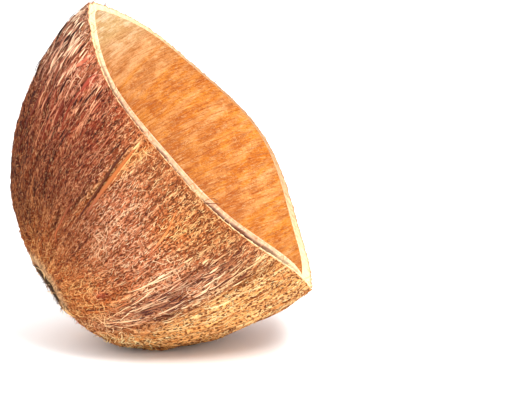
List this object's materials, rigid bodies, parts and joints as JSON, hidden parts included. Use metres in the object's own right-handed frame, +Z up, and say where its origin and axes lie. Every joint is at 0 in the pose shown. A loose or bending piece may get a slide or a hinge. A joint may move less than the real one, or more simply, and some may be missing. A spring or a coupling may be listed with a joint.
{
  "type": "coconut half",
  "caption": "Half of a husked coconut shell, cut across and lying on its side: a hollow bowl with a coat of combed husk fibre, a cut rim and a stem scar.",
  "frame": {"origin": "middle of the small flat spot on the underside that the half rests on", "axes": "+Z up; the opening faces +X and up, its axis 39 degrees above the horizontal in the XZ plane; Y runs across the opening"},
  "size_m": [0.1066, 0.1235, 0.1163],
  "materials": {
    "husk_fibre": "rough, matte, combed reddish-brown fibre",
    "cut_shell": "matte, pale cut face",
    "shell_lining": "satin, orange-tan inner skin"
  },
  "bodies": {
    "root": {"coconut_half": "husk_fibre"}
  },
  "joints": []
}
